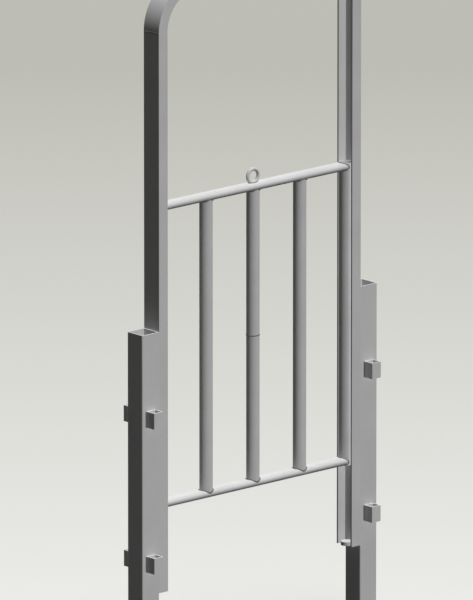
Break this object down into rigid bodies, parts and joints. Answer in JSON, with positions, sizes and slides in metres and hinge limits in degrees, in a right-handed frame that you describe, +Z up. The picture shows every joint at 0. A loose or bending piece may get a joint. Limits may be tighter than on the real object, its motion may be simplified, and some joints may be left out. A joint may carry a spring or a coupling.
{
  "type": "guillotine gate",
  "caption": "Barred gate panel of round tubes that lifts between two steel channel guides, which bend over into a hoop and stand against square posts with coupling lugs.",
  "frame": {"origin": "foot of the left post, at the middle of its inner wall's rim, at ground level", "axes": "+X along the gate from the left post to the right post, +Y to the back, +Z up"},
  "size_m": [0.844, 0.124, 1.847],
  "materials": {
    "post_steel": "dull galvanised",
    "channel_steel": "dull galvanised",
    "lug_steel": "dull galvanised",
    "panel_steel": "satin"
  },
  "bodies": {
    "frame": {"left_post": "post_steel", "right_post": "post_steel", "left_channel_web": "channel_steel", "left_channel_front_flange": "channel_steel", "left_channel_back_flange": "channel_steel", "right_channel_web": "channel_steel", "right_channel_front_flange": "channel_steel", "right_channel_back_flange": "channel_steel", "left_bend": "channel_steel", "right_bend": "channel_steel", "top_channel": "channel_steel", "left_stop": "channel_steel", "right_stop": "channel_steel", "left_front_low_lug": "lug_steel", "left_front_high_lug": "lug_steel", "left_back_low_lug": "lug_steel", "left_back_high_lug": "lug_steel", "right_front_low_lug": "lug_steel", "right_front_high_lug": "lug_steel", "right_back_low_lug": "lug_steel", "right_back_high_lug": "lug_steel"},
    "panel": {"left_stile": "panel_steel", "right_stile": "panel_steel", "low_rail": "panel_steel", "high_rail": "panel_steel", "left_bar": "panel_steel", "right_bar": "panel_steel", "middle_bar_lower": "panel_steel", "middle_bar_upper": "panel_steel", "lifting_ring": "panel_steel"}
  },
  "joints": [
    {"name": "panel_lift", "type": "slide", "parent": "frame", "child": "panel", "axis": [0, 0, 1], "range_m": [-0.215, 0.466]}
  ]
}
